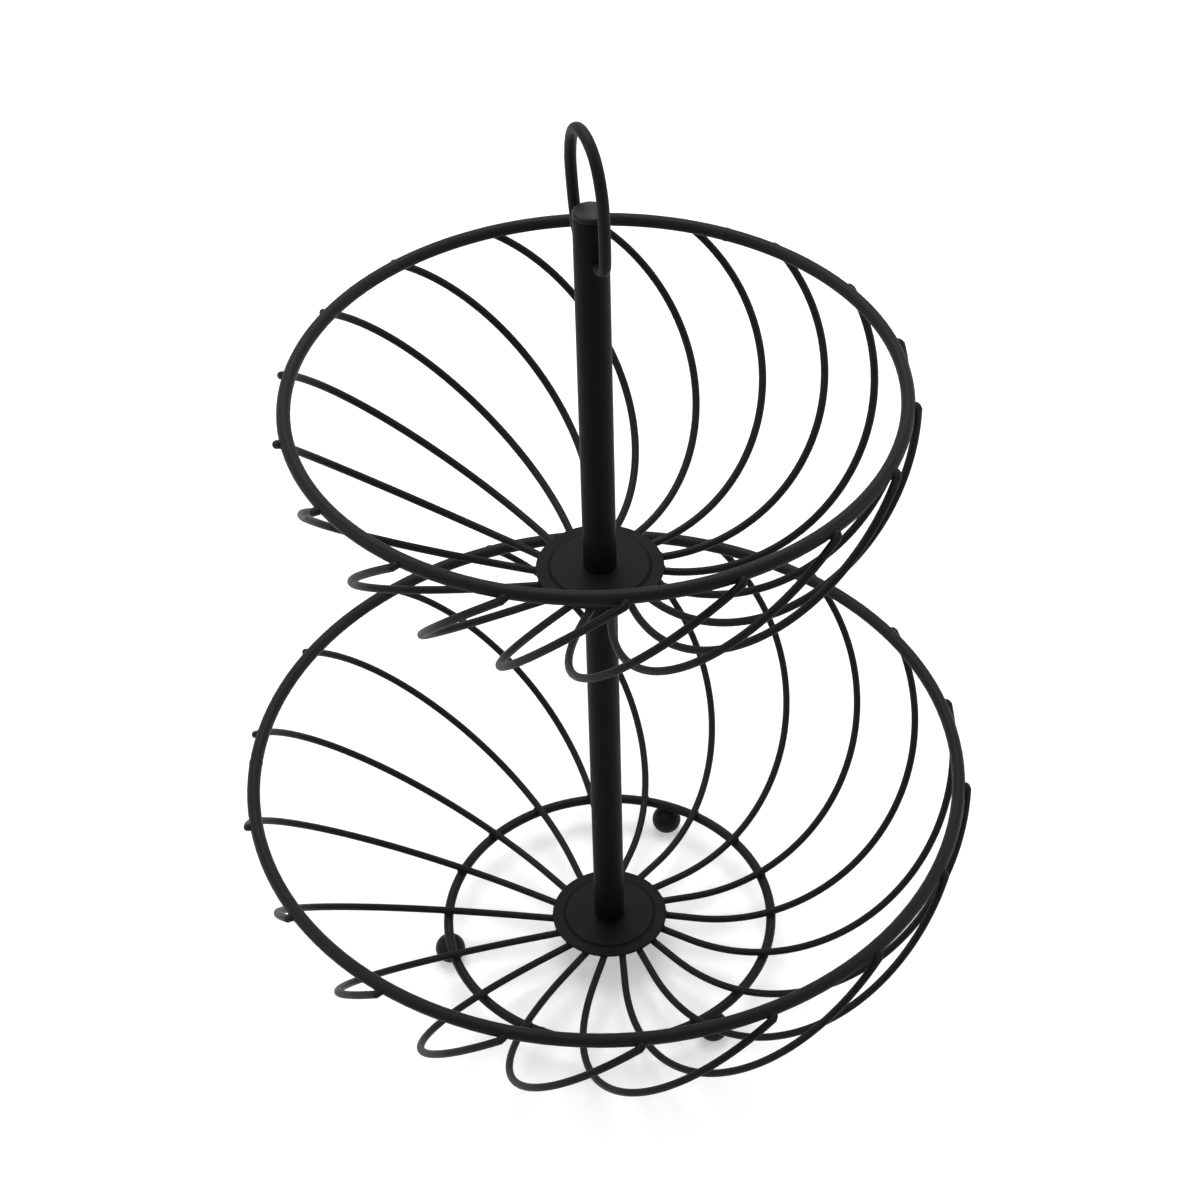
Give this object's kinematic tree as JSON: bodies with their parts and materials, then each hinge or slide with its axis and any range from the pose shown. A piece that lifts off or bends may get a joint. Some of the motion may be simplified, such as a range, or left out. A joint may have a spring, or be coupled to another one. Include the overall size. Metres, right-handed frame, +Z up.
{
  "type": "tiered wire basket",
  "caption": "Countertop basket of black steel wire: a wide lower bowl and a smaller upper bowl of swirled spokes on a centre post, with ball feet and a small swinging handle on top.",
  "frame": {"origin": "on the post's axis, on the surface that the three ball feet stand on", "axes": "+Z up along the post; +X to the right of the picture; +Y away from its camera"},
  "size_m": [0.2922, 0.295, 0.4045],
  "materials": {
    "black_powder_coat": "satin",
    "black_plastic": "satin",
    "zinc_steel": "satin"
  },
  "bodies": {
    "basket": {"base_ring": "black_powder_coat", "bottom_screw": "zinc_steel", "bottom_washer": "zinc_steel", "foot_1": "black_powder_coat", "foot_2": "black_powder_coat", "foot_3": "black_powder_coat", "joining_stud": "zinc_steel", "lower_plate": "black_powder_coat", "lower_post": "black_powder_coat", "lower_post_bottom_insert": "zinc_steel", "lower_post_top_insert": "zinc_steel", "lower_rim": "black_powder_coat", "lower_spoke_01": "black_powder_coat", "lower_spoke_02": "black_powder_coat", "lower_spoke_03": "black_powder_coat", "lower_spoke_04": "black_powder_coat", "lower_spoke_05": "black_powder_coat", "lower_spoke_06": "black_powder_coat", "lower_spoke_07": "black_powder_coat", "lower_spoke_08": "black_powder_coat", "lower_spoke_09": "black_powder_coat", "lower_spoke_10": "black_powder_coat", "lower_spoke_11": "black_powder_coat", "lower_spoke_12": "black_powder_coat", "lower_spoke_13": "black_powder_coat", "lower_spoke_14": "black_powder_coat", "lower_spoke_15": "black_powder_coat", "lower_spoke_16": "black_powder_coat", "lower_spoke_17": "black_powder_coat", "lower_spoke_18": "black_powder_coat", "post_cap": "black_plastic", "upper_plate": "black_powder_coat", "upper_post": "black_powder_coat", "upper_post_insert": "zinc_steel", "upper_rim": "black_powder_coat", "upper_spoke_01": "black_powder_coat", "upper_spoke_02": "black_powder_coat", "upper_spoke_03": "black_powder_coat", "upper_spoke_04": "black_powder_coat", "upper_spoke_05": "black_powder_coat", "upper_spoke_06": "black_powder_coat", "upper_spoke_07": "black_powder_coat", "upper_spoke_08": "black_powder_coat", "upper_spoke_09": "black_powder_coat", "upper_spoke_10": "black_powder_coat", "upper_spoke_11": "black_powder_coat", "upper_spoke_12": "black_powder_coat", "upper_spoke_13": "black_powder_coat", "upper_spoke_14": "black_powder_coat", "upper_spoke_15": "black_powder_coat", "upper_spoke_16": "black_powder_coat", "upper_spoke_17": "black_powder_coat", "upper_spoke_18": "black_powder_coat"},
    "handle": {"handle": "black_powder_coat"}
  },
  "joints": [
    {"name": "handle_swing", "type": "hinge", "parent": "basket", "child": "handle", "pos_m": [0, 0, 0.35268], "axis": [0.342, -0.9397, 0], "range_deg": [-165, 165]}
  ]
}
